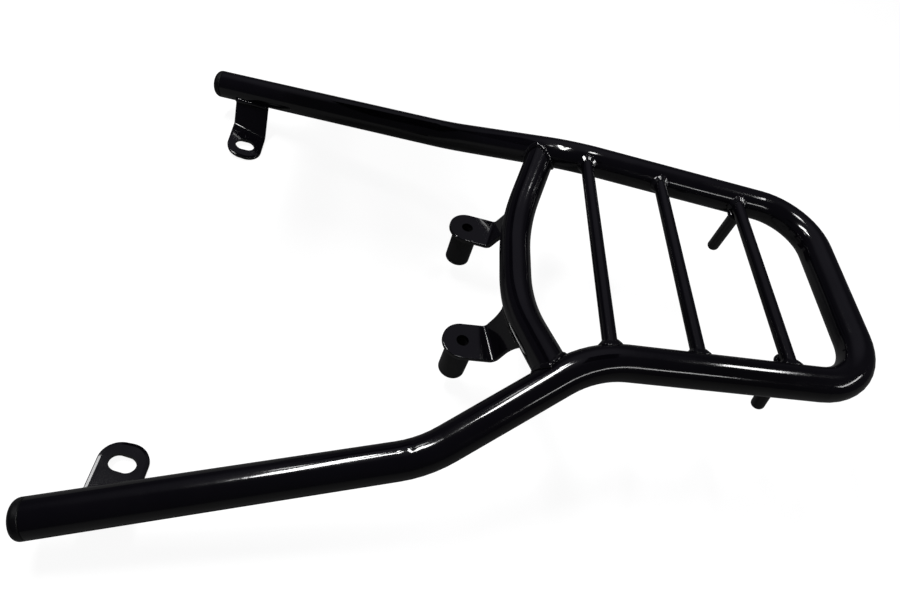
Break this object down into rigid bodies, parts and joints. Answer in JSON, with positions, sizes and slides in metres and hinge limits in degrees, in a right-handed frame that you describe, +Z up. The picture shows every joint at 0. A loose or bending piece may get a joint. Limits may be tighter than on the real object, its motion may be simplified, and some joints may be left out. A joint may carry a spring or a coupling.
{
  "type": "motorcycle luggage rack",
  "caption": "Black welded tube luggage rack for a motorcycle's tail: a bent tube frame with cross bars, bolted tail brackets, slotted front tabs and cord pegs.",
  "frame": {"origin": "midway between the two tail bushes, on the plane of their lower ends, which sit on the motorcycle's tail", "axes": "+X to the motorcycle's right, +Y forward, +Z up, with the luggage platform level"},
  "size_m": [0.4056, 0.4894, 0.1207],
  "materials": {
    "frame_paint": "gloss black powder coat",
    "weld_paint": "gloss black powder coat over rippled weld",
    "bush_paint": "satin black powder coat",
    "cap_plastic": "moulded black plastic"
  },
  "bodies": {
    "root": {"main_tube": "frame_paint", "cross_tube": "frame_paint", "cross_bar_1": "frame_paint", "cross_bar_2": "frame_paint", "cross_bar_3": "frame_paint", "front_tab_right": "frame_paint", "front_tab_left": "frame_paint", "tail_bracket_right": "frame_paint", "tail_bracket_left": "frame_paint", "tail_bush_right": "bush_paint", "tail_bush_left": "bush_paint", "bungee_peg_right": "frame_paint", "bungee_peg_left": "frame_paint", "end_cap_right": "cap_plastic", "end_cap_left": "cap_plastic", "cross_tube_weld_right": "weld_paint", "cross_tube_weld_left": "weld_paint", "bar_weld_1_right": "weld_paint", "bar_weld_1_left": "weld_paint", "bar_weld_2_right": "weld_paint", "bar_weld_2_left": "weld_paint", "bar_weld_3_right": "weld_paint", "bar_weld_3_left": "weld_paint", "tab_weld_right": "weld_paint", "tab_weld_left": "weld_paint", "bracket_weld_right": "weld_paint", "bracket_weld_left": "weld_paint", "bush_weld_right": "weld_paint", "bush_weld_left": "weld_paint", "peg_weld_right": "weld_paint", "peg_weld_left": "weld_paint"}
  },
  "joints": []
}
